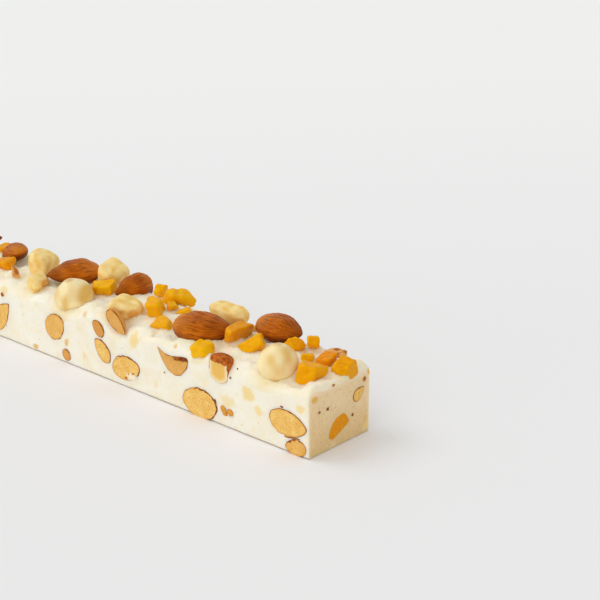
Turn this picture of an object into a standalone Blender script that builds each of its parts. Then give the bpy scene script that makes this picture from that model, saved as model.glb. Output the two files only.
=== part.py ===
# A stick of soft white nougat, cut from a slab. Whole almonds, blanched hazelnuts, broken
# nuts and diced apricot stand in its uneven top, and the knife has gone through the almonds
# that show in its sides and ends.
#
# Places are given as (back, in, up) in millimetres: back from the near end, in from the
# front side, and up from the base. The near end is at +X and the front side at -Y.

import math
import random

import bmesh
import bpy
from mathutils import Euler, Vector

MM = 0.001

# the block
LENGTH = 240.0
WIDTH = 32.0
HEIGHT = 25.0
BACK_RISE = 1.4  # the top is this much higher along the back
TOP_EDGE_RADIUS = 2.2
BASE_EDGE_RADIUS = 0.5
STATION_STEP = 8.0
TOP_COLUMNS = 6

# what is set in it
CLEARANCE = 0.3  # between the nougat and each piece
RING_SEGMENTS = 9
RINGS = 7
DICE_CUTS = 2

ALMOND_BLUNT = 0.5  # power of the outline at the blunt end
ALMOND_POINT = 0.82  # and at the tip
PLUMP_POINT = 0.62  # at the tip of a plump almond
ALMOND_KEEL = 0.18  # how far the two long edges are pinched
CURL = 1.1  # how far the ends of a curled almond bend to one side
HAZELNUT_TIP = 0.10
LUMP_ROUNDNESS = {"apricot": 14.0, "nut": 7.0}

COLOURS = {
    "nougat": (0.93, 0.88, 0.78),
    "almond": (0.40, 0.16, 0.055),
    "cut_almond": (0.72, 0.46, 0.20),
    "hazelnut": (0.80, 0.64, 0.36),
    "nut": (0.80, 0.62, 0.32),
    "apricot": (0.86, 0.46, 0.04),
}
MATERIAL_OF = {
    "almond_chip": "almond",
    "almond_sliver": "cut_almond",
    "nut_piece": "nut",
    "cut_apricot": "apricot",
}
ROUGHNESS = {"nougat": 0.65, "almond": 0.42, "cut_almond": 0.6, "hazelnut": 0.45, "nut": 0.5, "apricot": 0.35}

# Each row: name, form, (back, in, up) of its centre, (length, width, thickness), and the
# turns in degrees: yaw of its long axis from +X, tilt of its front end upwards, roll.
PLACED = [
    # whole almonds lying on the top
    ("almond_1", "plump", (37.0, 26.0, 30.5), (18.5, 13.0, 8.5), (10, -5, 20)),
    ("almond_2", "plump", (62.0, 11.5, 28.5), (22.0, 14.5, 9.5), (30, -2, 28)),
    ("almond_3", "almond", (115.0, 24.5, 28.5), (19.0, 11.5, 8.5), (270, 0, -60)),
    ("almond_4", "almond", (147.0, 19.5, 29.5), (22.0, 14.0, 8.5), (245, 0, -25)),
    ("almond_5", "almond", (191.0, 21.5, 29.0), (19.0, 10.5, 7.5), (165, -10, -15)),
    # blanched hazelnuts, and one in its skin that the front side slices
    ("hazelnut_1", "hazelnut", (20.5, 7.5, 27.0), (14.0, 14.5, 13.0), (-15, 0, 0)),
    ("hazelnut_2", "hazelnut", (130.5, 7.0, 26.3), (15.5, 14.0, 13.5), (55, 15, 10)),
    ("hazelnut_3", "hazelnut", (42.1, 1.0, 21.3), (9.4, 8.8, 10.6), (0, 0, -10)),
    # broken and halved nuts
    ("nut_piece_1", "nut", (63.0, 27.0, 29.5), (15.5, 8.0, 6.5), (10, 0, 5)),
    ("nut_piece_2", "nut", (101.5, 10.0, 26.0), (11.0, 10.5, 12.0), (25, -5, 20)),
    ("nut_piece_3", "nut", (166.5, 19.0, 29.5), (12.0, 14.0, 12.0), (20, -5, 5)),
    ("nut_piece_4", "nut", (154.0, 7.5, 26.5), (8.5, 7.5, 8.0), (85, 5, 35)),
    ("nut_piece_5", "nut", (132.5, 27.0, 29.0), (10.5, 10.5, 11.5), (85, 5, 30)),
    ("almond_sliver", "nut", (12.5, 28.5, 26.5), (8.0, 5.0, 3.0), (0, 0, 5)),
    ("almond_chip_1", "nut", (171.5, 8.5, 26.0), (3.0, 2.0, 6.0), (40, 0, 10)),
    ("almond_chip_2", "nut", (51.0, 26.5, 26.5), (4.5, 2.5, 3.0), (30, 0, 20)),
    # diced apricot
    ("apricot_1", "apricot", (2.8, 21.0, 25.3), (6.0, 8.4, 8.0), (-5, -5, 20)),
    ("apricot_2", "apricot", (9.2, 10.5, 25.8), (8.5, 6.8, 7.4), (10, -10, -5)),
    ("apricot_3", "apricot", (10.5, 21.0, 26.5), (7.0, 6.5, 5.0), (-5, 5, 10)),
    ("apricot_4", "apricot", (26.8, 23.0, 27.4), (6.0, 5.2, 4.8), (80, 0, 35)),
    ("apricot_5", "apricot", (22.0, 27.0, 29.0), (4.5, 5.0, 4.5), (45, 0, -25)),
    ("apricot_6", "apricot", (38.5, 13.5, 27.0), (11.0, 6.5, 6.0), (25, 40, 60)),
    ("apricot_7", "apricot", (49.0, 16.5, 28.5), (13.0, 4.5, 7.5), (95, -5, 20)),
    ("apricot_8", "apricot", (53.0, 3.0, 25.0), (8.0, 7.0, 5.0), (10, 15, 5)),
    ("apricot_9", "apricot", (85.0, 23.5, 25.5), (6.0, 4.5, 3.0), (45, 10, 0)),
    ("apricot_10", "apricot", (81.0, 9.0, 25.5), (9.0, 5.5, 4.5), (10, 15, 15)),
    ("apricot_11", "apricot", (92.0, 15.5, 28.0), (7.0, 7.0, 7.0), (25, 10, 10)),
    ("apricot_12", "apricot", (90.5, 22.5, 26.5), (4.0, 3.5, 6.5), (70, 0, 40)),
    ("apricot_13", "apricot", (92.5, 28.5, 28.5), (13.0, 6.0, 6.0), (65, -10, 20)),
    ("apricot_14", "apricot", (104.0, 29.0, 29.0), (4.5, 5.0, 5.0), (30, -10, -30)),
    ("apricot_15", "apricot", (127.5, 19.0, 27.0), (10.0, 6.5, 5.5), (35, 5, 10)),
    ("apricot_16", "apricot", (183.5, 12.5, 27.0), (8.0, 7.0, 5.0), (15, 15, 10)),
    ("apricot_17", "apricot", (18.5, 20.5, 25.5), (4.5, 4.5, 3.5), (25, 5, -25)),
    # almonds that the front side slices
    ("cut_almond_1", "plump", (9.3, 0.5, 10.6), (17.0, 9.6, 9.0), (0, 0, 90)),
    ("cut_almond_2", "plump", (5.7, 0.5, 2.8), (9.6, 5.0, 6.5), (180, -10, 90)),
    ("cut_almond_3", "plump", (52.3, 0.5, 5.3), (18.2, 11.8, 9.5), (180, -2, 90)),
    ("cut_almond_4", "curled", (66.5, 0.5, 18.0), (17.5, 7.0, 7.5), (180, 10, 90)),
    ("cut_almond_5", "plump", (92.2, 0.5, 7.9), (16.4, 9.9, 9.0), (0, 11, 90)),
    ("cut_almond_6", "plump", (105.9, 0.5, 11.5), (11.1, 7.4, 8.0), (180, 43, 90)),
    ("cut_almond_7", "plump", (107.9, 0.5, 20.0), (7.8, 5.7, 6.0), (180, 36, 90)),
    ("cut_almond_8", "plump", (135.1, 0.5, 14.1), (13.3, 10.4, 8.5), (0, 31, 90)),
    ("cut_almond_9", "plump", (128.7, 0.5, 3.6), (5.5, 4.8, 5.0), (0, -19, 90)),
    ("cut_almond_10", "almond", (97.0, 0.5, 25.0), (12.5, 6.5, 7.0), (0, -35, 90)),
    # pieces that the near end slices
    ("cut_almond_11", "almond", (0.5, 26.0, 16.0), (6.5, 4.5, 5.5), (90, 35, 90)),
    ("cut_apricot", "apricot", (0.5, 15.2, 7.0), (10.8, 4.5, 5.6), (90, 32, 0)),
]

# What the photograph doesn't show follows a rule: sliced almonds along the back, the far end
# and the far stretch of the front, and a few more pieces on the far stretch of the top.
SEED = 11
SLICE_DEPTH = 0.5  # how far inside the cut face a sliced almond has its middle
FIRST_HIDDEN = 12
BACK_ALMONDS = 6
FAR_FRONT = (172.0, 214.0)
FAR_TOP = [
    ("hazelnut_4", "hazelnut", (202.0, 8.5, 27.2), (13.6, 13.4, 13.6)),
    ("almond_6", "almond", (218.0, 22.0, 29.0), (21.0, 13.0, 8.6)),
    ("apricot_18", "apricot", (203.5, 27.0, 26.0), (7.0, 6.4, 6.4)),
    ("apricot_19", "apricot", (219.0, 6.0, 26.0), (8.6, 6.4, 6.4)),
    ("nut_piece_6", "nut", (231.0, 12.0, 26.8), (12.0, 9.5, 9.0)),
]


def rule_placed():
    """The rows for the pieces out of sight, from the seeded rule."""
    draw = random.Random(SEED)
    rows = []
    for name, form, place, size in FAR_TOP:
        turn = (draw.uniform(20, 80), draw.uniform(0, 8), draw.uniform(5, 30))
        rows.append((name, form, place, size, turn))
    number = FIRST_HIDDEN
    spacing = LENGTH / BACK_ALMONDS
    for i in range(BACK_ALMONDS):
        back = spacing * (i + 0.5) + draw.uniform(-6, 6)
        place = (back, WIDTH - SLICE_DEPTH, 8.0 + 4.5 * (i % 2) + draw.uniform(-1, 1))
        size = (draw.uniform(14, 19), draw.uniform(8, 11), 8.4)
        rows.append((f"cut_almond_{number}", "almond", place, size, (0, draw.uniform(-50, 50), 90)))
        number += 1
    for back in FAR_FRONT:
        place = (back, SLICE_DEPTH, draw.uniform(8, 13))
        size = (draw.uniform(13, 18), draw.uniform(8, 10.5), 8.2)
        rows.append((f"cut_almond_{number}", "almond", place, size, (0, draw.uniform(-50, 50), 90)))
        number += 1
    place = (LENGTH - SLICE_DEPTH, 12.0, 11.5)
    rows.append((f"cut_almond_{number}", "almond", place, (15.5, 9.5, 8.0), (90, 28, 90)))
    return rows


def position(back, inward, up):
    """A place in the block's own terms as a point in metres."""
    return Vector((LENGTH / 2 - back, inward - WIDTH / 2, up)) * MM


def top_height(back, inward):
    """Height of the nougat's top in millimetres: higher towards the back, and in swells."""
    slope = BACK_RISE * 0.5 * (1 - math.cos(math.pi * min(1.0, inward / (WIDTH - TOP_EDGE_RADIUS))))
    swell = 0.55 * math.sin(back * 0.105 + 0.8) * math.cos(inward * 0.16 + 0.4)
    ripple = 0.38 * math.sin(back * 0.31 + inward * 0.22)
    lump = 0.28 * math.cos(back * 0.23 - inward * 0.41 + 1.1)
    return HEIGHT + slope + swell + ripple + lump


def section(back):
    """The block's outline across its length: (inward, up) points from the base round the top."""
    r, b = TOP_EDGE_RADIUS, BASE_EDGE_RADIUS
    points = [(b, 0.0), (0.0, b)]
    points += [(0.0, HEIGHT * share) for share in (0.35, 0.7)]
    for angle in (0, 30, 60):
        a = math.radians(angle)
        inward = r * (1 - math.cos(a))
        points.append((inward, top_height(back, inward) - r * (1 - math.sin(a))))
    for i in range(TOP_COLUMNS):
        inward = r + (WIDTH - 2 * r) * i / (TOP_COLUMNS - 1)
        points.append((inward, top_height(back, inward)))
    for angle in (60, 30, 0):
        a = math.radians(angle)
        inward = WIDTH - r * (1 - math.cos(a))
        points.append((inward, top_height(back, inward) - r * (1 - math.sin(a))))
    points += [(WIDTH, HEIGHT * share) for share in (0.7, 0.35)]
    points += [(WIDTH, b), (WIDTH - b, 0.0)]
    return points


def material(name):
    made = bpy.data.materials.get(name) or bpy.data.materials.new(name)
    made.use_nodes = True
    shader = made.node_tree.nodes["Principled BSDF"]
    shader.inputs["Base Color"].default_value = (*COLOURS[name], 1.0)
    shader.inputs["Roughness"].default_value = ROUGHNESS[name]
    shader.inputs["Metallic"].default_value = 0.0
    return made


def face_out(bm):
    """Turns the faces of a closed bm the same way, and outwards."""
    bmesh.ops.recalc_face_normals(bm, faces=bm.faces)
    if bm.calc_volume(signed=True) < 0:
        bmesh.ops.reverse_faces(bm, faces=bm.faces)


def add_object(name, bm, material_name, smooth_below=40):
    """A named object from bm, its faces facing out, smooth but for edges over the angle."""
    face_out(bm)
    mesh = bpy.data.meshes.new(name)
    bm.to_mesh(mesh)
    bm.free()
    mesh.shade_smooth()
    mesh.set_sharp_from_angle(angle=math.radians(smooth_below))
    mesh.materials.append(material(material_name))
    made = bpy.data.objects.new(name, mesh)
    bpy.context.scene.collection.objects.link(made)
    return made


def make_block():
    """The nougat: its section carried from the near end to the far one, with both ends filled."""
    bm = bmesh.new()
    stations = round(LENGTH / STATION_STEP)
    loops = []
    for i in range(stations + 1):
        back = LENGTH * i / stations
        verts = [bm.verts.new(position(back, inward, up)) for inward, up in section(back)]
        edges = [bm.edges.new((verts[k - 1], verts[k])) for k in range(len(verts))]
        loops.append(edges)
    for near, far in zip(loops, loops[1:]):
        bmesh.ops.bridge_loops(bm, edges=near + far)
    for edges in (loops[0], loops[-1]):
        bmesh.ops.edgeloop_fill(bm, edges=edges)
    return add_object("nougat", bm, "nougat")


def almond_point(ball, pointed):
    """A point of the unit ball moved to the almond's: blunt at -X, pointed at +X, edges at +-Y."""
    x = max(-1.0, min(1.0, ball.x))
    across = math.hypot(ball.y, ball.z)
    if across < 1e-6:
        return Vector((x, 0.0, 0.0))
    widest = (ALMOND_BLUNT - pointed) / (ALMOND_BLUNT + pointed)
    peak = (1 + widest) ** ALMOND_BLUNT * (1 - widest) ** pointed
    width = (1 + x) ** ALMOND_BLUNT * (1 - x) ** pointed / peak
    y, z = ball.y / across, ball.z / across
    return Vector((x, y * width, z * abs(z) ** ALMOND_KEEL * width))


def hazelnut_point(ball):
    """A ball drawn up to a small tip at +Z and flattened a little underneath."""
    tip = HAZELNUT_TIP * math.exp(-((1 - ball.z) / 0.12))
    flat = 0.10 * max(0.0, -ball.z - 0.6)
    return Vector((ball.x, ball.y, ball.z + tip + flat))


def lump_planes(name):
    """The faces of a broken or diced piece: six, each a little off square and off centre."""
    draw = random.Random(sum(map(ord, name)))
    planes = []
    for axis in range(3):
        for side in (-1, 1):
            normal = Vector([draw.uniform(-0.24, 0.24) for _ in range(3)])
            normal[axis] = side
            planes.append((normal.normalized(), draw.uniform(0.86, 1.06)))
    corner = Vector([draw.choice((-1, 1)) for _ in range(3)]).normalized()
    planes.append((corner, draw.uniform(1.05, 1.25)))
    return planes


def lump_point(ball, planes, roundness):
    """The ball's direction carried out to the lump's faces; the power rounds its edges."""
    reach = sum((max(0.0, ball.dot(normal)) / distance) ** roundness for normal, distance in planes)
    return ball * reach ** (-1 / roundness)


def bake_form(name, form, size, spread=0.0):
    """The piece as a bmesh about its own centre, in metres, swollen by spread millimetres."""
    bm = bmesh.new()
    if form in LUMP_ROUNDNESS:
        bmesh.ops.create_cube(bm, size=2.0)
        bmesh.ops.subdivide_edges(bm, edges=bm.edges, cuts=DICE_CUTS, use_grid_fill=True)
        planes = lump_planes(name)
        for vert in bm.verts:
            vert.co = lump_point(vert.co.normalized(), planes, LUMP_ROUNDNESS[form])
    else:
        bmesh.ops.create_uvsphere(bm, u_segments=RING_SEGMENTS, v_segments=RINGS, radius=1.0)
        if form in ("almond", "plump", "curled"):  # the ball's poles become the tip and the blunt end
            pointed = PLUMP_POINT if form == "plump" else ALMOND_POINT
            for vert in bm.verts:
                vert.co = almond_point(Vector((vert.co.z, vert.co.x, vert.co.y)), pointed)
                if form == "curled":
                    vert.co.y += CURL * (vert.co.x**2 - 0.35)
        else:
            for vert in bm.verts:
                vert.co = hazelnut_point(vert.co)
    half = Vector(size) * 0.5
    for vert in bm.verts:
        vert.co = Vector((vert.co.x * half.x, vert.co.y * half.y, vert.co.z * half.z)) * MM
    face_out(bm)
    bmesh.ops.triangulate(bm, faces=bm.faces)
    bm.normal_update()
    moved = [vert.co + vert.normal * spread * MM for vert in bm.verts]
    for vert, co in zip(bm.verts, moved):
        vert.co = co
    return bm


def put_in_place(bm, place, turn):
    """Turns and moves bm to its place in the block."""
    yaw, tilt, roll = (math.radians(angle) for angle in turn)
    spin = Euler((roll, -tilt, yaw), "XYZ").to_matrix()
    where = position(*place)
    for vert in bm.verts:
        vert.co = spin @ vert.co + where


def knife_planes():
    """Point and outward normal of the five faces that the knife and the base make."""
    half_length, half_width = LENGTH / 2 * MM, WIDTH / 2 * MM
    return [
        (Vector((half_length, 0, 0)), Vector((1, 0, 0))),
        (Vector((-half_length, 0, 0)), Vector((-1, 0, 0))),
        (Vector((0, half_width, 0)), Vector((0, 1, 0))),
        (Vector((0, -half_width, 0)), Vector((0, -1, 0))),
        (Vector((0, 0, 0)), Vector((0, 0, -1))),
    ]


def trim(bm):
    """Slices off what stands past the block's faces, and closes each slice."""
    for point, normal in knife_planes():
        if all((vert.co - point).dot(normal) <= 0 for vert in bm.verts):
            continue
        cut = bmesh.ops.bisect_plane(
            bm,
            geom=bm.verts[:] + bm.edges[:] + bm.faces[:],
            dist=1e-7,
            plane_co=point,
            plane_no=normal,
            clear_outer=True,
        )
        edges = [item for item in cut["geom_cut"] if isinstance(item, bmesh.types.BMEdge)]
        bmesh.ops.edgeloop_fill(bm, edges=edges)


def kind_of(name):
    """The material of a piece, from its name without the number."""
    family = name.rstrip("0123456789").rstrip("_")
    return MATERIAL_OF.get(family, family)


def make_pieces(rows):
    """Each piece as an object, and a collection of the sockets that the nougat keeps for them."""
    sockets = bpy.data.collections.new("sockets")
    bpy.context.scene.collection.children.link(sockets)
    for name, form, place, size, turn in rows:
        bm = bake_form(name, form, size)
        put_in_place(bm, place, turn)
        trim(bm)
        add_object(name, bm, kind_of(name))
        bm = bake_form(name, form, size, CLEARANCE)
        put_in_place(bm, place, turn)
        socket = add_object(f"socket_{name}", bm, kind_of(name))
        bpy.context.scene.collection.objects.unlink(socket)
        sockets.objects.link(socket)
        socket.hide_render = True
        socket.display_type = "WIRE"
    return sockets


def cut_sockets(block, sockets):
    """Takes every socket out of the nougat, and then removes the cutters."""
    cut = block.modifiers.new("sockets", "BOOLEAN")
    cut.operation = "DIFFERENCE"
    cut.operand_type = "COLLECTION"
    cut.collection = sockets
    cut.solver = "EXACT"
    graph = bpy.context.evaluated_depsgraph_get()
    mesh = bpy.data.meshes.new_from_object(block.evaluated_get(graph))
    block.modifiers.remove(cut)
    block.data = mesh
    for socket in list(sockets.objects):
        bpy.data.objects.remove(socket)
    bpy.data.collections.remove(sockets)


def main():
    for old in list(bpy.data.objects):
        bpy.data.objects.remove(old)
    block = make_block()
    sockets = make_pieces(PLACED + rule_placed())
    bpy.context.view_layer.update()
    cut_sockets(block, sockets)


main()
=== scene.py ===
import math
import random
from functools import partial

import bmesh
import bpy
import numpy as np
from mathutils import Euler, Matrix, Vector

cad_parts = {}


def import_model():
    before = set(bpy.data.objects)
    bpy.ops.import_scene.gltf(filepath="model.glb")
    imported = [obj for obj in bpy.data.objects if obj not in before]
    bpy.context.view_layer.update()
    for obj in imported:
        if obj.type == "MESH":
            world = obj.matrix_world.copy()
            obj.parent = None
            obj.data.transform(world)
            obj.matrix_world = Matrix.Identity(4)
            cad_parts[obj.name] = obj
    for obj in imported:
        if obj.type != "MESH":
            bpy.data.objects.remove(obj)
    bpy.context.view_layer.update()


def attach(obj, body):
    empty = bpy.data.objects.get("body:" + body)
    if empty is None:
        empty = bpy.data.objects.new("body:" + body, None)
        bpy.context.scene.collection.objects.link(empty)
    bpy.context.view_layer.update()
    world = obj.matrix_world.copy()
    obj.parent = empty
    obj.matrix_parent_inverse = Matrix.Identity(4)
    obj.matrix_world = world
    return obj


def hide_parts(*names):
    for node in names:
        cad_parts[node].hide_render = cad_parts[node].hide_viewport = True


# A stick of soft nougat with nuts and diced apricot, dressed around its solids. Everything is
# worked out in millimetres and turned into metres when a mesh is made. Places are given as
# (back, in, up): back from the near end, in from the front side, up from the base.

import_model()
mm = 0.001

bar = {
    "length": 240.0,
    "width": 32.0,
    "height": 25.0,
    "backRise": 1.4,  # the top is this much higher along the back
    "topEdge": 3.8,  # radius of the long top edges
    "baseEdge": 0.5,
    "endEdge": (0.35, 2.2),  # radius of the ends' edges, at the sides and at the top
    "stations": 345,
    "nearShare": (0.72, 0.6),  # share of the stations in the near part, and its share of the length
    "endStations": (0.06, 0.16, 0.3),  # more of them in the turn of each end, by distance from it
    "topPoints": 104,
    "edgeShare": 0.17,  # of the top's points, on each of its rounded edges
    "sidePoints": 50,
    "basePoints": 26,
    "endRings": 24,
    "collar": 0.7,  # how far the nougat climbs each piece
    "collarReach": 1.0,
    # soft lumps on the top and the knife's uneven cut on the sides: height and wavelength
    "lumps": [(0.34, 8.5), (0.16, 3.6), (0.05, 1.7)],
    "cutWaves": [(0.035, 6.0), (0.02, 2.2)],
    "cutDepth": 0.06,  # the cut sides lie this much under the solid's, on average
    "cutMost": 0.02,  # and stand out no further than this
    # where the top is pressed down in front of a piece, or mounded: back, in, reach, depth
    "dips": [
        (9.0, 5.5, 5.0, 2.6), (20.5, 1.0, 6.5, 1.9), (41.8, 1.0, 5.5, 1.0), (53.0, 1.0, 4.5, 0.6),
        (130.5, 1.0, 8.0, 3.6), (99.0, 3.5, 7.0, 3.2), (114.0, 3.5, 6.0, -1.3), (154.0, 2.5, 5.0, 1.2),
        (80.0, 4.0, 4.5, 0.8),
    ],
    "settle": 0.4,  # the soft top lies this much under the solid's
    "proud": 0.1,  # of the cut pieces over the knife's face
    "press": 0.12,  # how softly a piece turns into the knife's face
    "lowest": 0.02,  # no piece reaches further down
}

# name, form, (back, in, up), (length, width, thickness), (yaw, tilt, roll)
placed = [
    ("almond_1", "plump", (37.0, 26.0, 30.5), (18.5, 13.0, 8.5), (10, -5, 20)),
    ("almond_2", "plump", (62.0, 11.5, 28.5), (22.0, 14.5, 9.5), (30, -2, 28)),
    ("almond_3", "almond", (115.0, 24.5, 28.5), (19.0, 11.5, 8.5), (270, 0, -60)),
    ("almond_4", "almond", (147.0, 19.5, 29.5), (22.0, 14.0, 8.5), (245, 0, -25)),
    ("almond_5", "almond", (191.0, 21.5, 29.0), (19.0, 10.5, 7.5), (165, -10, -15)),
    ("hazelnut_1", "hazelnut", (20.5, 7.5, 27.0), (14.0, 14.5, 13.0), (-15, 0, 0)),
    ("hazelnut_2", "hazelnut", (130.5, 7.0, 26.3), (15.5, 14.0, 13.5), (55, 15, 10)),
    ("hazelnut_3", "hazelnut", (42.1, 1.0, 21.3), (9.4, 8.8, 10.6), (0, 0, -10)),
    ("nut_piece_1", "nut", (63.0, 27.0, 29.5), (15.5, 8.0, 6.5), (10, 0, 5)),
    ("nut_piece_2", "nut", (101.5, 10.0, 26.0), (11.0, 10.5, 12.0), (25, -5, 20)),
    ("nut_piece_3", "nut", (166.5, 19.0, 29.5), (12.0, 14.0, 12.0), (20, -5, 5)),
    ("nut_piece_4", "nut", (154.0, 7.5, 26.5), (8.5, 7.5, 8.0), (85, 5, 35)),
    ("nut_piece_5", "nut", (132.5, 27.0, 29.0), (10.5, 10.5, 11.5), (85, 5, 30)),
    ("almond_sliver", "nut", (12.5, 28.5, 26.5), (8.0, 5.0, 3.0), (0, 0, 5)),
    ("almond_chip_1", "nut", (171.5, 8.5, 26.0), (3.0, 2.0, 6.0), (40, 0, 10)),
    ("almond_chip_2", "nut", (51.0, 26.5, 26.5), (4.5, 2.5, 3.0), (30, 0, 20)),
    ("apricot_1", "apricot", (2.8, 21.0, 25.3), (6.0, 8.4, 8.0), (-5, -5, 20)),
    ("apricot_2", "apricot", (9.2, 10.5, 25.8), (8.5, 6.8, 7.4), (10, -10, -5)),
    ("apricot_3", "apricot", (10.5, 21.0, 26.5), (7.0, 6.5, 5.0), (-5, 5, 10)),
    ("apricot_4", "apricot", (26.8, 23.0, 27.4), (6.0, 5.2, 4.8), (80, 0, 35)),
    ("apricot_5", "apricot", (22.0, 27.0, 29.0), (4.5, 5.0, 4.5), (45, 0, -25)),
    ("apricot_6", "apricot", (38.5, 13.5, 27.0), (11.0, 6.5, 6.0), (25, 40, 60)),
    ("apricot_7", "apricot", (49.0, 16.5, 28.5), (13.0, 4.5, 7.5), (95, -5, 20)),
    ("apricot_8", "apricot", (53.0, 3.0, 25.0), (8.0, 7.0, 5.0), (10, 15, 5)),
    ("apricot_9", "apricot", (85.0, 23.5, 25.5), (6.0, 4.5, 3.0), (45, 10, 0)),
    ("apricot_10", "apricot", (81.0, 9.0, 25.5), (9.0, 5.5, 4.5), (10, 15, 15)),
    ("apricot_11", "apricot", (92.0, 15.5, 28.0), (7.0, 7.0, 7.0), (25, 10, 10)),
    ("apricot_12", "apricot", (90.5, 22.5, 26.5), (4.0, 3.5, 6.5), (70, 0, 40)),
    ("apricot_13", "apricot", (92.5, 28.5, 28.5), (13.0, 6.0, 6.0), (65, -10, 20)),
    ("apricot_14", "apricot", (104.0, 29.0, 29.0), (4.5, 5.0, 5.0), (30, -10, -30)),
    ("apricot_15", "apricot", (127.5, 19.0, 27.0), (10.0, 6.5, 5.5), (35, 5, 10)),
    ("apricot_16", "apricot", (183.5, 12.5, 27.0), (8.0, 7.0, 5.0), (15, 15, 10)),
    ("apricot_17", "apricot", (18.5, 20.5, 25.5), (4.5, 4.5, 3.5), (25, 5, -25)),
    ("cut_almond_1", "plump", (9.3, 0.5, 10.6), (17.0, 9.6, 9.0), (0, 0, 90)),
    ("cut_almond_2", "plump", (5.7, 0.5, 2.8), (9.6, 5.0, 6.5), (180, -10, 90)),
    ("cut_almond_3", "plump", (52.3, 0.5, 5.3), (18.2, 11.8, 9.5), (180, -2, 90)),
    ("cut_almond_4", "curled", (66.5, 0.5, 18.0), (17.5, 7.0, 7.5), (180, 10, 90)),
    ("cut_almond_5", "plump", (92.2, 0.5, 7.9), (16.4, 9.9, 9.0), (0, 11, 90)),
    ("cut_almond_6", "plump", (105.9, 0.5, 11.5), (11.1, 7.4, 8.0), (180, 43, 90)),
    ("cut_almond_7", "plump", (107.9, 0.5, 20.0), (7.8, 5.7, 6.0), (180, 36, 90)),
    ("cut_almond_8", "plump", (135.1, 0.5, 14.1), (13.3, 10.4, 8.5), (0, 31, 90)),
    ("cut_almond_9", "plump", (128.7, 0.5, 3.6), (5.5, 4.8, 5.0), (0, -19, 90)),
    ("cut_almond_10", "almond", (97.0, 0.5, 25.0), (12.5, 6.5, 7.0), (0, -35, 90)),
    ("cut_almond_11", "almond", (0.5, 26.0, 16.0), (6.5, 4.5, 5.5), (90, 35, 90)),
    ("cut_apricot", "apricot", (0.5, 15.2, 7.0), (10.8, 4.5, 5.6), (90, 32, 0)),
]

hidden = {
    "seed": 11,
    "sliceDepth": 0.5,  # how far in the middle of a sliced almond lies
    "firstNumber": 12,  # of the sliced almonds out of sight
    "backAlmonds": 6,
    "farFront": (172.0, 214.0),  # back of the two in the front side
    # name, form, (back, in, up), (length, width, thickness) of those on top
    "farTop": [
        ("hazelnut_4", "hazelnut", (202.0, 8.5, 27.2), (13.6, 13.4, 13.6)),
        ("almond_6", "almond", (218.0, 22.0, 29.0), (21.0, 13.0, 8.6)),
        ("apricot_18", "apricot", (203.5, 27.0, 26.0), (7.0, 6.4, 6.4)),
        ("apricot_19", "apricot", (219.0, 6.0, 26.0), (8.6, 6.4, 6.4)),
        ("nut_piece_6", "nut", (231.0, 12.0, 26.8), (12.0, 9.5, 9.0)),
    ],
}


# the pieces out of sight, by the same seeded rule as their solids
def hiddenRows():
    draw = random.Random(hidden["seed"])
    rows = []
    for name, form, place, size in hidden["farTop"]:
        turn = (draw.uniform(20, 80), draw.uniform(0, 8), draw.uniform(5, 30))
        rows.append((name, form, place, size, turn))
    number = hidden["firstNumber"]
    inside = hidden["sliceDepth"]
    spacing = bar["length"] / hidden["backAlmonds"]
    for i in range(hidden["backAlmonds"]):
        back = spacing * (i + 0.5) + draw.uniform(-6, 6)
        place = (back, bar["width"] - inside, 8.0 + 4.5 * (i % 2) + draw.uniform(-1, 1))
        size = (draw.uniform(14, 19), draw.uniform(8, 11), 8.4)
        rows.append((f"cut_almond_{number}", "almond", place, size, (0, draw.uniform(-50, 50), 90)))
        number += 1
    for back in hidden["farFront"]:
        place = (back, inside, draw.uniform(8, 13))
        size = (draw.uniform(13, 18), draw.uniform(8, 10.5), 8.2)
        rows.append((f"cut_almond_{number}", "almond", place, size, (0, draw.uniform(-50, 50), 90)))
        number += 1
    place = (bar["length"] - inside, 12.0, 11.5)
    rows.append((f"cut_almond_{number}", "almond", place, (15.5, 9.5, 8.0), (90, 28, 90)))
    return rows


# a place on the bar as x, y, z in millimetres
def world(back, inward, up):
    return np.array([bar["length"] / 2 - back, inward - bar["width"] / 2, up])


# yaw, tilt and roll in degrees as a turning matrix
def spin(turn):
    yaw, tilt, roll = (math.radians(angle) for angle in turn)
    return np.array(Euler((roll, -tilt, yaw), "XYZ").to_matrix())


# smooth noise: the mean of many sine waves in random directions, about one wavelength long,
# scaled to a spread of 1
def waves(points, wavelength, seed, count=12):
    draw = np.random.default_rng(seed)
    way = draw.normal(size=(count, 3))
    way /= np.linalg.norm(way, axis=1, keepdims=True)
    way *= 2 * math.pi / wavelength * draw.uniform(0.7, 1.5, (count, 1))
    phase = draw.uniform(0, 2 * math.pi, count)
    return np.sin(points @ way.T + phase).sum(-1) / math.sqrt(count / 2)


# waves of several sizes added up, each given as (height, wavelength)
def layered(points, layers, seed):
    return sum(high * waves(points, length, seed + i) for i, (high, length) in enumerate(layers))


# a piece's own seed: the sum of its name's letters as numbers
def seedOf(name):
    return sum(map(ord, name))


# corner numbers of the quads between neighbouring rings
def ringQuads(ringCount, around):
    start = np.arange(ringCount - 1)[:, None] * around
    here = np.arange(around)
    after = (here + 1) % around
    quads = np.stack([start + here, start + after, start + around + after, start + around + here], -1)
    return quads.reshape(-1, 4)


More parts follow.
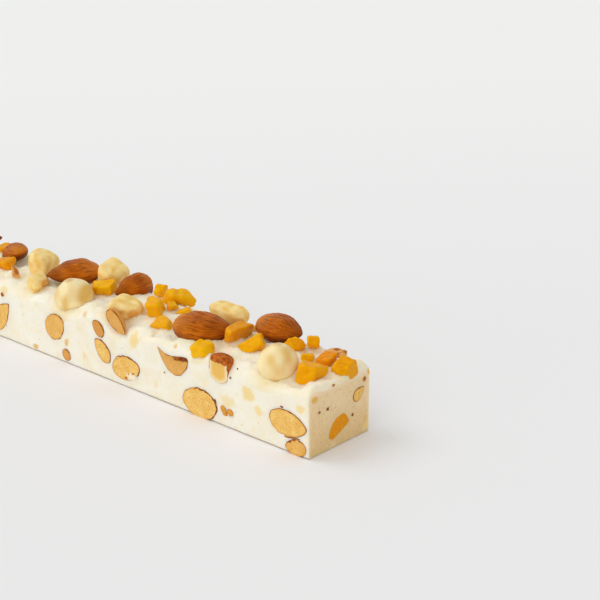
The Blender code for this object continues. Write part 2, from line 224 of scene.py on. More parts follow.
# a closed mesh from rings of points and the point that closes each end. The sign of its
# volume, the sum of its quads' triple products, tells whether its faces have to be turned.
def shell(name, rings, first, last, finish, slotName, node, marks):
    ringCount, around = rings.shape[:2]
    points = np.concatenate([first[None], rings.reshape(-1, 3), last[None]])
    quads = ringQuads(ringCount, around) + 1
    here = np.arange(around)
    after = (here + 1) % around
    end = len(points) - 1
    lastRing = 1 + (ringCount - 1) * around
    fans = np.concatenate([
        np.stack([np.zeros_like(here), 1 + after, 1 + here], -1),
        np.stack([np.full_like(here, end), lastRing + here, lastRing + after], -1),
    ])
    corners = [points[quads[:, k]] for k in range(4)]
    volume = np.einsum("ij,ij->i", corners[0], np.cross(corners[1], corners[2])).sum()
    volume += np.einsum("ij,ij->i", corners[0], np.cross(corners[2], corners[3])).sum()
    if volume < 0:
        quads = quads[:, ::-1]
        fans = fans[:, ::-1]
    mesh = bpy.data.meshes.new(name)
    mesh.from_pydata(points * mm, [], quads.tolist() + fans.tolist())
    mesh.shade_smooth()
    for mark, values in marks.items():
        values = np.asarray(values, np.float32).reshape(ringCount * around, -1)
        values = np.concatenate([values[:1], values, values[-1:]])
        vector = values.shape[1] == 3
        layer = mesh.attributes.new(mark, "FLOAT_VECTOR" if vector else "FLOAT", "POINT")
        layer.data.foreach_set("vector" if vector else "value", values.reshape(-1))
    mesh.materials.append(finish)
    piece = bpy.data.objects.new(name, mesh)
    bpy.context.scene.collection.objects.link(piece)
    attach(piece, "root")
    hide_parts(node)


# unit directions on rings about the local X axis, from -X to +X: the rings are spaced by equal
# angles, and the poles themselves are left out
def directions(steps, around):
    polar = (np.arange(1, steps) / steps * math.pi)[:, None]
    angle = (np.arange(around) / around * 2 * math.pi)[None]
    return np.stack([
        -np.cos(polar) + 0 * angle,
        np.sin(polar) * np.cos(angle),
        np.sin(polar) * np.sin(angle),
    ], -1)


almond = {
    "blunt": 0.5,  # power of the outline at the blunt end
    "point": {"almond": 0.82, "curled": 1.25, "plump": 0.62},  # and at the tip, by form
    "keel": 0.18,  # how far the two long edges are pinched
    "curl": 1.1,  # how far the ends of the curled one bend
    "steps": 112,  # of the mesh, from end to end
    "around": 224,
    "furrows": (8, 13, 21),  # pairs of furrows round the nut, by size
    "furrowDepth": (0.1, 0.07, 0.045),
    "dents": [(0.14, 7.0), (0.03, 1.6)],  # height and wavelength
}


# half width of an almond at x from its blunt end (-1) to its tip (1): the distance from the
# blunt end to one power times the distance from the tip to another, over its largest value
def almondWidth(x, form):
    blunt, point = almond["blunt"], almond["point"][form]
    widest = (blunt - point) / (blunt + point)
    peak = (1 + widest) ** blunt * (1 - widest) ** point
    return (1 + x) ** blunt * (1 - x) ** point / peak


# the unit ball drawn out to an almond: each ring takes its width, its flat sides pinched to a keel
def almondForm(ball, form):
    x = np.clip(ball[..., 0], -1, 1)
    across = np.maximum(np.hypot(ball[..., 1], ball[..., 2]), 1e-9)
    y, z = ball[..., 1] / across, ball[..., 2] / across
    width = almondWidth(x, form)
    return np.stack([x, y * width, z * np.abs(z) ** almond["keel"] * width], -1)


# below 1 inside an almond, 1 on its surface: the ball's equation with the keel undone
def almondInside(p, form):
    x = np.clip(p[..., 0], -0.9999, 0.9999)
    y = p[..., 1] - (almond["curl"] * (x**2 - 0.35) if form == "curled" else 0)
    width = almondWidth(x, form)
    level = (y / width) ** 2 + np.abs(p[..., 2] / width) ** (2 / (1 + almond["keel"]))
    return np.where(np.abs(p[..., 0]) >= 1, 9.0, level)


# lengthwise furrows: narrow dips where a slowly wandering sine of the angle crosses zero, so
# that they run from end to end and meet at the tip, broken up by noise. Gives how dark each
# point is, and how deep in millimetres.
def furrows(x, angle, points, seed):
    total = np.zeros_like(x)
    depth = np.zeros_like(x)
    draw = np.random.default_rng(seed)
    for pairs, deep in zip(almond["furrows"], almond["furrowDepth"]):
        a, b, c = draw.uniform(0, 2 * math.pi, 3)
        wander = 0.8 * np.sin(2.1 * x + a) + 0.35 * np.sin(5.3 * x + b) + 0.25 * np.sin(2 * angle + c)
        line = (1 - np.abs(np.sin(pairs * angle + wander * pairs / 6))) ** 2.2
        line *= np.clip(0.55 + 0.45 * waves(points, 6.0, seed + pairs), 0.05, 1.2)
        total += line * deep / almond["furrowDepth"][0]
        depth += line * deep
    fade = np.clip((1 - x**2) * 4, 0, 1)
    return total * fade, depth * fade


# an almond in its skin: the drawn out ball at its size, moved along its outward direction by
# broad and fine waves, and inwards by its furrows
def wholeAlmond(name, form, place, size, turn):
    seed = seedOf(name)
    ball = directions(almond["steps"], almond["around"])
    half = np.array(size) / 2
    local = almondForm(ball, form)
    outward = local / half
    outward /= np.linalg.norm(outward, axis=-1, keepdims=True)
    points = local * half
    angle = np.arctan2(local[..., 2], local[..., 1])
    vein, depth = furrows(local[..., 0], angle, points, seed)
    points = points + outward * (layered(points, almond["dents"], seed + 1) - depth)[..., None]
    ends = [np.array([-half[0], 0, 0]), np.array([half[0], 0, 0])]
    tone = 0.5 + 0.5 * waves(local * half, 9.0, seed + 3)
    # dark towards the tip; painted shade where it faces down, and a painted highlight where the blunt end
    # faces up
    tip = np.clip((local[..., 0] - 0.1) / 0.9, 0, 1) ** 1.5
    facing = (outward @ spin(turn).T)[..., 2]
    under = np.clip((0.3 - facing) / 0.9, 0, 1)
    pale = np.clip(-local[..., 0] * 1.3 - 0.2, 0, 1) * np.clip(facing * 2, 0, 1)
    # lengthwise streaks: a place that changes slowly along the nut and fast around it
    streak = np.stack([local[..., 0] * 0.9, np.cos(angle) * 3.2, np.sin(angle) * 3.2], -1)
    marks = {"vein": vein, "tone": tone, "tip": tip, "streak": streak, "under": under, "pale": pale}
    shell(f"{name}_skin", *settled(points, ends, turn, place), almondSkin(), "almond", name, marks)


# the knife's faces: a point on each, and its outward direction
def knifeFaces():
    half = np.array([bar["length"] / 2, bar["width"] / 2])
    return [
        (np.array([half[0], 0, 0]), np.array([1.0, 0, 0])),
        (np.array([-half[0], 0, 0]), np.array([-1.0, 0, 0])),
        (np.array([0, half[1], 0]), np.array([0, 1.0, 0])),
        (np.array([0, -half[1], 0]), np.array([0, -1.0, 0])),
    ]


# presses what stands past the knife's faces back onto them: with s the softness, the height
# over a face becomes -s log(1 + exp(-height / s)), which turns softly at the edge
def flatten(points):
    points = points.copy()
    soft = bar["press"]
    for point, normal in knifeFaces():
        over = (points - point) @ normal - bar["proud"]
        pressed = -soft * np.logaddexp(0, -over / soft)
        points += np.where(over > -4 * soft, pressed - over, 0)[..., None] * normal
    points[..., 2] = np.maximum(points[..., 2], bar["lowest"])
    return points


# turns a piece and moves it to its place on the bar, cut off where the knife went
def settled(points, ends, turn, place):
    matrix, centre = spin(turn), world(*place)
    ends = flatten(np.array(ends) @ matrix.T + centre)
    return flatten(points @ matrix.T + centre), ends[0], ends[1]


hazelnut = {
    "steps": 72,
    "around": 112,
    "tip": (0.10, 0.12),  # how far the tip stands out, and how wide it is
    "underside": 0.10,  # how much it is flattened underneath
    "dents": [(0.1, 9.0), (0.02, 2.0)],  # height and wavelength
    "lobe": 0.12,  # depth of the three broad dents of a blanched nut
    "ridge": 0.04,  # how soft the ridges between its flats are
    # flats that meet in a soft ridge: each one's direction in the world, and its distance
    "flats": {
        "hazelnut_1": [((1.25, -0.2, 0.25), 0.9), ((-0.2, -1.2, 0.2), 0.95)],
        "hazelnut_2": [((1.2, -0.15, 0.3), 0.86), ((0.2, -1.1, 0.35), 0.9), ((0.1, 0.2, 1.0), 0.96)],
        "hazelnut_4": [((0.3, 0.2, 1.0), 0.93), ((-1.0, -0.3, 0.4), 0.9)],
    },
}


# the ball with a small tip at +Z that falls off as exp(-depth / width), flattened underneath
def hazelnutForm(ball):
    z = ball[..., 2]
    high, width = hazelnut["tip"]
    drawn = high * np.exp(-((1 - z) / width)) + hazelnut["underside"] * np.maximum(0, -z - 0.6)
    return np.stack([ball[..., 0], ball[..., 1], z + drawn], -1)


# a blanched hazelnut: the ball with its tip, moved out by fine waves and by three lobes, a
# cosine of three times the angle that fades at both ends. What then stands past a flat is
# pressed back to it by s log(1 + exp(height / s)).
def wholeHazelnut(name, place, size, turn):
    seed = seedOf(name)
    x, y, z = np.moveaxis(directions(hazelnut["steps"], hazelnut["around"]), -1, 0)
    ball = np.stack([y, z, -x], -1)  # the rings run from the tip down
    half = np.array(size) / 2
    points = hazelnutForm(ball) * half
    angle = np.arctan2(ball[..., 1], ball[..., 0])
    lobes = np.cos(3 * angle + seed) * np.sqrt(np.clip(1 - ball[..., 2] ** 2, 0, 1))
    dent = layered(points, hazelnut["dents"], seed)
    points = points + ball * (dent + hazelnut["lobe"] * lobes)[..., None]
    matrix = spin(turn)
    soft = hazelnut["ridge"]
    shade = np.zeros(angle.shape)
    for aim, distance in hazelnut["flats"].get(name, []):
        aim = matrix.T @ (np.array(aim) / np.linalg.norm(aim))
        over = points @ aim / half.mean() - distance
        pressed = soft * np.logaddexp(0, over / soft)
        points = points - (pressed * half.mean())[..., None] * aim
        # the flats are painted darker through the tone: painted shade
        shade = np.maximum(shade, np.clip(over / 0.08, 0, 1))
    ends = [points[0].mean(0), points[-1].mean(0)]
    marks = {
        "tone": 0.5 + 0.3 * waves(ball * half, 8.0, seed + 2) + 0.15 * shade,
        "tip": np.clip((ball[..., 2] - 0.96) / 0.04, 0, 1),
    }
    shell(f"{name}_nut", *settled(points, ends, turn, place), blanchedNut(), "hazelnut", name, marks)


broken = {
    # power of the mean that rounds the edges: the lower, the rounder
    "roundness": {"apricot": 5.5, "nut": 4.2, "nut_piece_3": 2.5, "nut_piece_5": 3.4, "apricot_13": 4.5},
    "steps": {"apricot": 56, "nut": 60},
    "around": {"apricot": 88, "nut": 92},
    "sag": {"apricot": 0.02, "nut": 0.03},  # how far each face is hollow
    # broad and fine relief: height and wavelength
    "rough": {"apricot": [(0.12, 3.6), (0.04, 1.2)], "nut": [(0.11, 5.5), (0.03, 1.5)]},
    "smallHalf": 2.5,  # pieces thinner than twice this have finer and lower relief
    # a nibbled hollow in a nut: its direction in the world, its width and depth
    "hollows": {
        "nut_piece_2": ((0.85, -0.35, -0.05), 0.3, 0.55),
        "nut_piece_5": ((0.5, -0.7, -0.35), 0.32, 0.9),
        "nut_piece_4": ((0.85, 0.1, 0.0), 0.38, 0.4),
        "nut_piece_1": ((0.75, -0.5, -0.4), 0.36, 0.35),
    },
    # how orange each piece of apricot is, from bright yellow (0) to deep orange (1)
    "tint": {
        "apricot_1": 0.55, "apricot_2": 0.45, "apricot_3": 0.8, "apricot_4": 0.4, "apricot_5": 0.45,
        "apricot_6": 0.35, "apricot_7": 0.6, "apricot_8": 0.1, "apricot_17": 0.25, "cut_apricot": 0.7,
        "apricot_9": 0.2, "apricot_11": 0.3, "apricot_12": 0.25, "apricot_13": 0.2, "apricot_14": 0.2,
        "apricot_10": 0.35, "apricot_15": 0.15, "apricot_16": 0.6,
    },
}


# the faces of a broken or diced piece: six, a little off square and off centre, and a corner
def lumpFaces(name):
    draw = random.Random(seedOf(name))
    normals, distances = [], []
    for axis in range(3):
        for side in (-1, 1):
            normal = np.array([draw.uniform(-0.24, 0.24) for _ in range(3)])
            normal[axis] = side
            normals.append(normal / np.linalg.norm(normal))
            distances.append(draw.uniform(0.86, 1.06))
    corner = np.array([draw.choice((-1, 1)) for _ in range(3)]) / math.sqrt(3)
    normals.append(corner)
    distances.append(draw.uniform(1.05, 1.25))
    return np.array(normals), np.array(distances)


# how far a lump reaches in each direction: a high power mean of its faces rounds its edges,
# and each face is a little hollow in its middle. With it, how near each point is to an edge.
def lumpReach(ball, name, form):
    normals, distances = lumpFaces(name)
    power = broken["roundness"].get(name, broken["roundness"][form])
    facing = np.maximum(0, ball @ normals.T)
    reach = ((facing / distances) ** power).sum(-1) ** (-1 / power)
    middle = np.exp(-(((1 - facing) / 0.12) ** 2)).max(-1)
    # how near each point is to an edge: the finishes paint it lighter, a painted highlight
    two = np.sort(facing / distances, -1)[..., -2:]
    edge = np.clip((two[..., 0] / two[..., 1] - 0.8) / 0.2, 0, 1)
    return reach * (1 - broken["sag"][form] * middle), edge


# below 1 inside a ball that is a little square: the sum of its coordinates' 2.8th powers
def ballInside(p):
    return (np.abs(p) ** 2.8).sum(-1)


# below 1 inside a lump with well rounded edges: the cubic mean of its faces, after the lump
# is bent to one side by the square of its length
def roundedLumpInside(name):
    normals, distances = lumpFaces(name)

    def inside(p):
        bent = p + np.array([0, 0, 0.45]) * (p[..., :1] ** 2 - 0.3)
        return ((np.maximum(0, bent @ normals.T) / distances) ** 3).sum(-1) ** (1 / 3)
    return inside


# a broken nut or a die of fruit: the ball out to its reach, moved along its outward direction
# by broad and fine waves. A hollow goes in by exp(-(a / width^2)^2), a being 1 minus the cosine
# of the angle to the hollow's direction.
def lump(name, form, place, size, turn, finish, slotName):
    seed = seedOf(name)
    ball = directions(broken["steps"][form], broken["around"][form])
    half = np.array(size) / 2
    matrix = spin(turn)
    reach, edge = lumpReach(ball, name, form)
    points = ball * reach[..., None] * half
    small = min(1.0, half.min() / broken["smallHalf"])
    layers = [(high * small, length * max(0.5, small)) for high, length in broken["rough"][form]]
    relief = layered(points, layers, seed)
    outward = ball / half
    outward /= np.linalg.norm(outward, axis=-1, keepdims=True)
    hollow = np.zeros(relief.shape)
    if name in broken["hollows"]:
        aim, width, depth = broken["hollows"][name]
        aim = matrix.T @ (np.array(aim) / np.linalg.norm(aim))
        hollow = np.exp(-(((1 - ball @ aim) / width**2) ** 2))
        relief -= depth * hollow * np.clip(1 + 0.3 * waves(points, 2.0, seed + 5), 0.3, 1.5)
    tone = 0.5 + 0.4 * waves(points, 4.0, seed + 2)
    points = points + outward * relief[..., None]
    ends = [points[0].mean(0), points[-1].mean(0)]
    marks = {
        "tone": tone,
        "hollow": hollow,
        "edge": edge,
        "tint": np.full(relief.shape, broken["tint"].get(name, 0.5)),
    }
    shell(f"{name}_piece", *settled(points, ends, turn, place), finish, slotName, name, marks)


sliced = {
    "capRings": 24,
    "bodyRings": 14,
    "around": 120,
    "under": 0.1,  # how far the middle of a halved piece lies under the knife's face
    "rim": 0.32,  # width of the skin that shows round the flesh
    "swell": 0.05,  # how far the flesh stands out in its middle
    "grain": (0.025, 1.3),  # height and wavelength of the flesh's relief
    "edgeDrop": (0.1, 0.12),  # how far the cap falls at its outline, and over what width
    "halvings": 26,
    # skin round the flesh: strength, the side of the piece where it is strongest, in degrees
    # from the right, and how narrow that stretch is
    "skin": {
        "cut_almond_1": (0.9, 60, 1), "cut_almond_2": (1.6, 120, 3), "cut_almond_3": (1.1, 40, 1),
        "cut_almond_4": (0.8, 60, 1), "cut_almond_5": (0.8, 60, 1), "cut_almond_6": (0.8, 60, 1),
        "cut_almond_7": (0.8, 0, 1), "cut_almond_8": (0.5, 0, 1), "cut_almond_10": (1.0, 200, 1),
    },
    # brown skin over the upper part of a sliced nut: the back and up of two places on its
    # edge, and how far the skin stands out
    "cover": {
        "hazelnut_3": ((46.8, 23.8), (36.0, 23.4), 0.45),
        "cut_almond_4": ((65.8, 18.5), (57.0, 19.5), 0.25),
    },
    "bare": ["cut_almond_10"],  # no skin on the side
    "wider": {"cut_almond_2": 1.2, "cut_almond_4": 1.12},  # than the row says
    "ragged": (0.018, 3.4),  # how uneven the outline is, as a share of its radius, and its wavelength
    # how brown the flesh is
    "tan": {
        "cut_almond_4": 0.6, "cut_almond_7": 0.9, "cut_almond_9": 0.8, "cut_almond_10": 0.6,
        "cut_almond_8": 0.3, "cut_almond_2": 0.3,
    },
    # nougat smeared over the flesh: back and up of its middle, its width and height
    "smear": {"cut_almond_5": ((87.2, 4.4), (9.0, 3.6))},
}


# a piece that the knife has gone through. Rays leave its centre in rings about the knife's
# direction; on each the surface is found by halving, and so is the ring where it meets the
# knife. Inside that ring lies the cap: nearly flat, highest in its middle, with a fine grain, and
# falling off at its outline, whose radius wavers. Outside it the piece keeps its own form.
def cutPiece(name, place, size, turn, insideTest, face, finish, slotName):
    seed = seedOf(name)
    half = np.array(size) / 2 * (1, sliced["wider"].get(name, 1), 1)
    matrix, centre = spin(turn), world(*place)
    point, normal = face
    depth = float((point - centre) @ normal)
    if depth < 1:  # the knife went through its middle
        centre = centre + normal * (depth - sliced["under"])
        depth = sliced["under"]
    side = np.cross(np.array([0, 0, 1.0]), normal)
    up = np.cross(normal, side)
    turnAround = np.arange(sliced["around"]) / sliced["around"] * 2 * math.pi
    level = np.cos(turnAround)[:, None] * side + np.sin(turnAround)[:, None] * up

    def ray(polar):
        return np.cos(polar)[..., None] * normal + np.sin(polar)[..., None] * level

    def reach(polar):
        way = ray(polar)
        inner = np.zeros(polar.shape)
        outer = np.full(polar.shape, half.max() * 1.3)  # surely outside the piece
        for _ in range(sliced["halvings"]):
            middle = (inner + outer) / 2
            inside = insideTest((way * middle[..., None]) @ matrix / half) < 1
            inner = np.where(inside, middle, inner)
            outer = np.where(inside, outer, middle)
        return inner

    low = np.zeros(sliced["around"])
    high = np.full(sliced["around"], math.pi / 2)
    for _ in range(sliced["halvings"]):
        middle = (low + high) / 2
        past = reach(middle) * np.cos(middle) > depth
        low = np.where(past, middle, low)
        high = np.where(past, high, middle)
    rim = (low + high) / 2
    rimRadius = depth * np.tan(rim)
    ragged, length = sliced["ragged"]
    rimRadius = rimRadius * (1 + ragged * waves(level * rimRadius.mean(), length, seed + 6))

    share = np.sin(np.arange(1, sliced["capRings"] + 1) / sliced["capRings"] * math.pi / 2)[:, None]
    foot = centre + normal * depth
    cap = foot + (share * rimRadius)[..., None] * level
    gap = (1 - share) * rimRadius  # distance to the outline
    grain, length = sliced["grain"]
    rise = sliced["swell"] * (1 - share**2) + grain * waves(cap, length, seed) * (share < 0.98)
    drop, dropWidth = sliced["edgeDrop"]
    rise -= drop * np.exp(-gap / dropWidth)
    cap = cap + normal * (bar["proud"] + rise)[..., None]
    fall = (np.arange(1, sliced["bodyRings"]) / sliced["bodyRings"])[:, None]
    polar = rim + (math.pi - rim) * fall
    body = centre + ray(polar) * reach(polar)[..., None]
    last = centre - normal * float(reach(np.full(sliced["around"], math.pi)).mean())

    # the skin's band along the outline is widest on one side, and uneven
    strength, strongest, narrow = sliced["skin"].get(name, (0.7, 90, 1))
    lean = (0.5 + 0.5 * np.cos(turnAround - math.radians(strongest))) ** narrow
    uneven = 1 + 0.45 * waves(cap[-1], 3.0, seed + 1)
    width = sliced["rim"] * np.clip((0.3 + strength * lean) * uneven, 0.12, 6)
    shown = np.clip((gap - width) / 0.16 + 0.5, 0, 1)
    if name in sliced["cover"]:
        # the skin stands out over the knife's face above a line from one place to the other
        (backA, upA), (backB, upB), stand = sliced["cover"][name]
        away = bar["length"] / 2 - cap[..., 0]
        line = upA + (upB - upA) * (away - backA) / (backB - backA) + 0.12 * waves(cap, 2.5, seed + 4)
        over = np.clip((cap[..., 2] - line) / 0.5 + 0.5, 0, 1) * np.clip((backA - away) / 1.6, 0, 1)
        shown = shown * (1 - over)
        cap = cap + normal * (stand * over * np.sqrt(np.clip(gap / 1.2, 0, 1)))[..., None]
    flesh = np.concatenate([shown, np.full(body.shape[:2], 1.0 if name in sliced["bare"] else 0.0)])
    smear = np.zeros(cap.shape[:2])
    if name in sliced["smear"]:
        # a slanting oval, 1 well inside its wavering outline and 0 outside
        (backAt, upAt), (wide, tall) = sliced["smear"][name]
        across = (bar["length"] / 2 - cap[..., 0] - backAt) / wide * 2
        high = (cap[..., 2] - upAt - 0.18 * across * wide / 2) / tall * 2
        away = np.hypot(across, high) * (1 + 0.15 * waves(cap, 1.8, seed + 7))
        smear = np.clip((1.05 - away) / 0.25, 0, 1)
    rings = np.concatenate([cap, body])
    rings[..., 2] = np.maximum(rings[..., 2], bar["lowest"])
    none = np.zeros(body.shape[:2])
    marks = {
        "flesh": flesh,
        "gap": np.concatenate([gap, none]),
        "tone": 0.5 + 0.4 * waves(rings, 5.0, seed + 2),
        "core": np.concatenate([np.exp(-((share * rimRadius / 0.5) ** 2)), none]),
        "tint": np.full(rings.shape[:2], broken["tint"].get(name, 0.5)),
        "edge": np.concatenate([np.clip(1 - gap / 0.4, 0, 1), none]),
        "tan": np.full(rings.shape[:2], sliced["tan"].get(name, 0.0)),
        "smear": np.concatenate([smear, none]),
    }
    first = foot + normal * (bar["proud"] + sliced["swell"])
    shell(f"{name}_slice", rings, first, last, finish, slotName, name, marks)


# nodes of one material, by short calls
class Graph:
    def __init__(self, tree):
        self.tree = tree
        self.height = self.relief = None  # the shared grain's height, and where it goes in

    def node(self, kind, **settings):
        made = self.tree.nodes.new(kind)
        for key, value in settings.items():
            setattr(made, key, value)
        return made

    def link(self, out, into):
        self.tree.links.new(out, into)

    def mark(self, name):
        return self.node("ShaderNodeAttribute", attribute_name=name).outputs["Fac"]

    def place(self):
        return self.node("ShaderNodeTexCoord").outputs["Object"]

    # noise over the object, or over a place kept on the mesh
    def noise(self, scale, detail=3.0, markName=None):
        made = self.node("ShaderNodeTexNoise")
        made.inputs["Scale"].default_value = scale
        made.inputs["Detail"].default_value = detail
        if markName:
            place = self.node("ShaderNodeAttribute", attribute_name=markName).outputs["Vector"]
        else:
            place = self.place()
        self.link(place, made.inputs["Vector"])
        return made.outputs["Fac"]

    def cells(self, scale):
        made = self.node("ShaderNodeTexVoronoi")
        made.inputs["Scale"].default_value = scale
        self.link(self.place(), made.inputs["Vector"])
        return made

    # a value from low to high becomes one from outLow to outHigh, and stops there
    def span(self, value, low, high, outLow=0.0, outHigh=1.0):
        made = self.node("ShaderNodeMapRange")
        for name, number in (("From Min", low), ("From Max", high), ("To Min", outLow), ("To Max", outHigh)):
            made.inputs[name].default_value = number
        self.link(value, made.inputs["Value"])
        return made.outputs[0]

    def math(self, how, a, b):
        made = self.node("ShaderNodeMath", operation=how)
        for value, socket in ((a, made.inputs[0]), (b, made.inputs[1])):
            if isinstance(value, (int, float)):
                socket.default_value = value
            else:
                self.link(value, socket)
        return made.outputs[0]

    def mix(self, share, a, b):
        made = self.node("ShaderNodeMix", data_type="RGBA")
        for value, socket in ((share, made.inputs[0]), (a, made.inputs[6]), (b, made.inputs[7])):
            if isinstance(value, tuple):
                socket.default_value = (*value, 1.0)
            elif isinstance(value, (int, float)):
                socket.default_value = value
            else:
                self.link(value, socket)
        return made.outputs[2]


# colours are given as on a screen, 0 to 255
def screen(red, green, blue):
    return tuple(((v / 255 + 0.055) / 1.055) ** 2.4 for v in (red, green, blue))


# fine relief shared by every material: broad and fine noise as one height
def foodGrain():
    group = bpy.data.node_groups.get("foodGrain")
    if group:
        return group
    group = bpy.data.node_groups.new("foodGrain", "ShaderNodeTree")
    for name, kind, into in (
        ("Broad Scale", "NodeSocketFloat", "INPUT"),
        ("Fine Scale", "NodeSocketFloat", "INPUT"),
        ("Fine Share", "NodeSocketFloat", "INPUT"),
        ("Height", "NodeSocketFloat", "OUTPUT"),
    ):
        group.interface.new_socket(name=name, in_out=into, socket_type=kind)
    g = Graph(group)
    ends = g.node("NodeGroupInput"), g.node("NodeGroupOutput")
    broad, fine = g.node("ShaderNodeTexNoise"), g.node("ShaderNodeTexNoise")
    for noise, name in ((broad, "Broad Scale"), (fine, "Fine Scale")):
        noise.inputs["Detail"].default_value = 4.0
        g.link(g.place(), noise.inputs["Vector"])
        g.link(ends[0].outputs[name], noise.inputs["Scale"])
    part = g.math("MULTIPLY", fine.outputs["Fac"], ends[0].outputs["Fine Share"])
    g.link(g.math("ADD", broad.outputs["Fac"], part), ends[1].inputs["Height"])
    return group


# a new material, its graph and its shader, with the shared grain as its relief. grain holds the
# group's scales and fine share, bump its strength and distance, soft the subsurface's weight,
# radius and scale, and glint the colour of the shine.
def start(name, roughness, grain, bump, soft, shine, glint=(1.0, 1.0, 1.0)):
    made = bpy.data.materials.new(name)
    made.use_nodes = True
    g = Graph(made.node_tree)
    shader = made.node_tree.nodes["Principled BSDF"]
    shader.inputs["Roughness"].default_value = roughness
    shader.inputs["Subsurface Weight"].default_value = soft[0]
    shader.inputs["Subsurface Radius"].default_value = soft[1]
    shader.inputs["Subsurface Scale"].default_value = soft[2]
    shader.inputs["Specular IOR Level"].default_value = shine
    shader.inputs["Specular Tint"].default_value = (*glint, 1.0)
    detail = g.node("ShaderNodeGroup", node_tree=foodGrain())
    for name, value in zip(("Broad Scale", "Fine Scale", "Fine Share"), grain):
        detail.inputs[name].default_value = value
    relief = g.node("ShaderNodeBump")
    relief.inputs["Strength"].default_value = bump[0]
    relief.inputs["Distance"].default_value = bump[1]
    g.link(detail.outputs["Height"], relief.inputs["Height"])
    g.link(relief.outputs[0], shader.inputs["Normal"])
    g.height, g.relief = detail.outputs["Height"], relief.inputs["Height"]
    return made, g, shader


# a material is built the first time it is asked for, and kept
def once(build):
    kept = []

    def get():
        if not kept:
            kept.append(build())
        return kept[0]
    return get


@once
def almondSkin():
    made, g, shader = start(
        "almondSkin", 0.42, (420.0, 2600.0, 0.4), (0.3, 0.0003), (0.04, (1.0, 0.4, 0.2), 0.001), 0.32,
        (1.0, 0.5, 0.15),
    )
    streak = g.noise(2.6, 5.0, "streak")
    body = g.mix(g.span(streak, 0.36, 0.62), screen(168, 78, 4), screen(212, 116, 14))
    body = g.mix(g.span(g.mark("tone"), 0.3, 1.3, 0.0, 0.4), body, screen(140, 60, 8))
    body = g.mix(g.span(g.mark("vein"), 0.2, 1.1, 0.0, 0.75), body, screen(92, 38, 8))
    body = g.mix(g.span(g.noise(1500.0), 0.5, 0.7, 0.0, 0.3), body, screen(110, 46, 6))
    # painted highlight on the blunt end where it faces up
    body = g.mix(g.span(g.mark("pale"), 0.0, 1.0, 0.0, 0.4), body, screen(232, 152, 58))
    body = g.mix(g.span(g.mark("tip"), 0.0, 1.0, 0.0, 0.6), body, screen(100, 42, 10))
    # painted shade where the nut faces down
    body = g.mix(g.span(g.mark("under"), 0.0, 0.9, 0.0, 0.88), body, screen(92, 34, 2))
    g.link(body, shader.inputs["Base Color"])
    # the streaks stand out a little too
    g.link(g.math("ADD", g.height, g.math("MULTIPLY", streak, 1.6)), g.relief)
    return made


@once
def cutAlmond():
    made, g, shader = start(
        "cutAlmond", 0.6, (700.0, 3200.0, 0.7), (0.35, 0.0003), (0.15, (1.0, 0.6, 0.3), 0.0012), 0.1
    )
    flesh = g.mix(g.span(g.noise(350.0), 0.35, 0.7), screen(252, 211, 126), screen(240, 188, 94))
    flesh = g.mix(g.span(g.noise(1800.0, 2.0), 0.5, 0.68, 0.0, 0.6), flesh, screen(200, 136, 56))
    flesh = g.mix(g.span(g.mark("gap"), 0.2, 1.1, 0.6, 0.0), flesh, screen(226, 156, 66))
    flesh = g.mix(g.span(g.mark("core"), 0.3, 1.0, 0.0, 0.35), flesh, screen(196, 136, 66))
    flesh = g.mix(g.math("MULTIPLY", g.mark("tan"), 0.85), flesh, screen(212, 142, 66))
    skin = g.mix(g.span(g.noise(500.0), 0.4, 0.6), screen(172, 96, 30), screen(120, 58, 16))
    body = g.mix(g.mark("flesh"), skin, flesh)
    g.link(g.mix(g.mark("smear"), body, screen(253, 240, 214)), shader.inputs["Base Color"])
    return made


@once
def almondChip():
    made, g, shader = start(
        "almondChip", 0.5, (500.0, 2400.0, 0.5), (0.4, 0.0003), (0.1, (1.0, 0.5, 0.3), 0.001), 0.1
    )
    body = g.mix(g.span(g.mark("tone"), 0.2, 0.8), screen(180, 100, 36), screen(234, 178, 100))
    g.link(body, shader.inputs["Base Color"])
    return made


@once
def blanchedNut():
    made, g, shader = start(
        "blanchedNut", 0.45, (300.0, 2200.0, 0.3), (0.15, 0.0004), (0.25, (1.0, 0.7, 0.35), 0.002), 0.2
    )
    # the tone holds random patches and, on the hazelnuts, the painted shade of their flats
    body = g.mix(g.span(g.mark("tone"), 0.3, 1.1), screen(254, 235, 184), screen(234, 192, 104))
    body = g.mix(g.span(g.noise(110.0), 0.5, 0.75, 0.0, 0.4), body, screen(234, 190, 100))
    body = g.mix(g.span(g.mark("tip"), 0.0, 1.0, 0.0, 0.6), body, screen(206, 150, 74))
    g.link(body, shader.inputs["Base Color"])
    return made


@once
def brokenNut():
    made, g, shader = start(
        "brokenNut", 0.5, (420.0, 2200.0, 0.4), (0.3, 0.0004), (0.2, (1.0, 0.7, 0.35), 0.0015), 0.15
    )
    body = g.mix(g.span(g.mark("tone"), 0.1, 1.2), screen(254, 226, 154), screen(243, 200, 108))
    body = g.mix(g.span(g.noise(160.0), 0.5, 0.7, 0.0, 0.25), body, screen(236, 188, 92))
    # the edges are painted lighter: a painted highlight
    body = g.mix(g.span(g.mark("edge"), 0.4, 1.0, 0.0, 0.5), body, screen(254, 228, 170))
    body = g.mix(g.span(g.mark("hollow"), 0.15, 0.8, 0.0, 0.7), body, screen(220, 146, 44))
    g.link(body, shader.inputs["Base Color"])
    return made


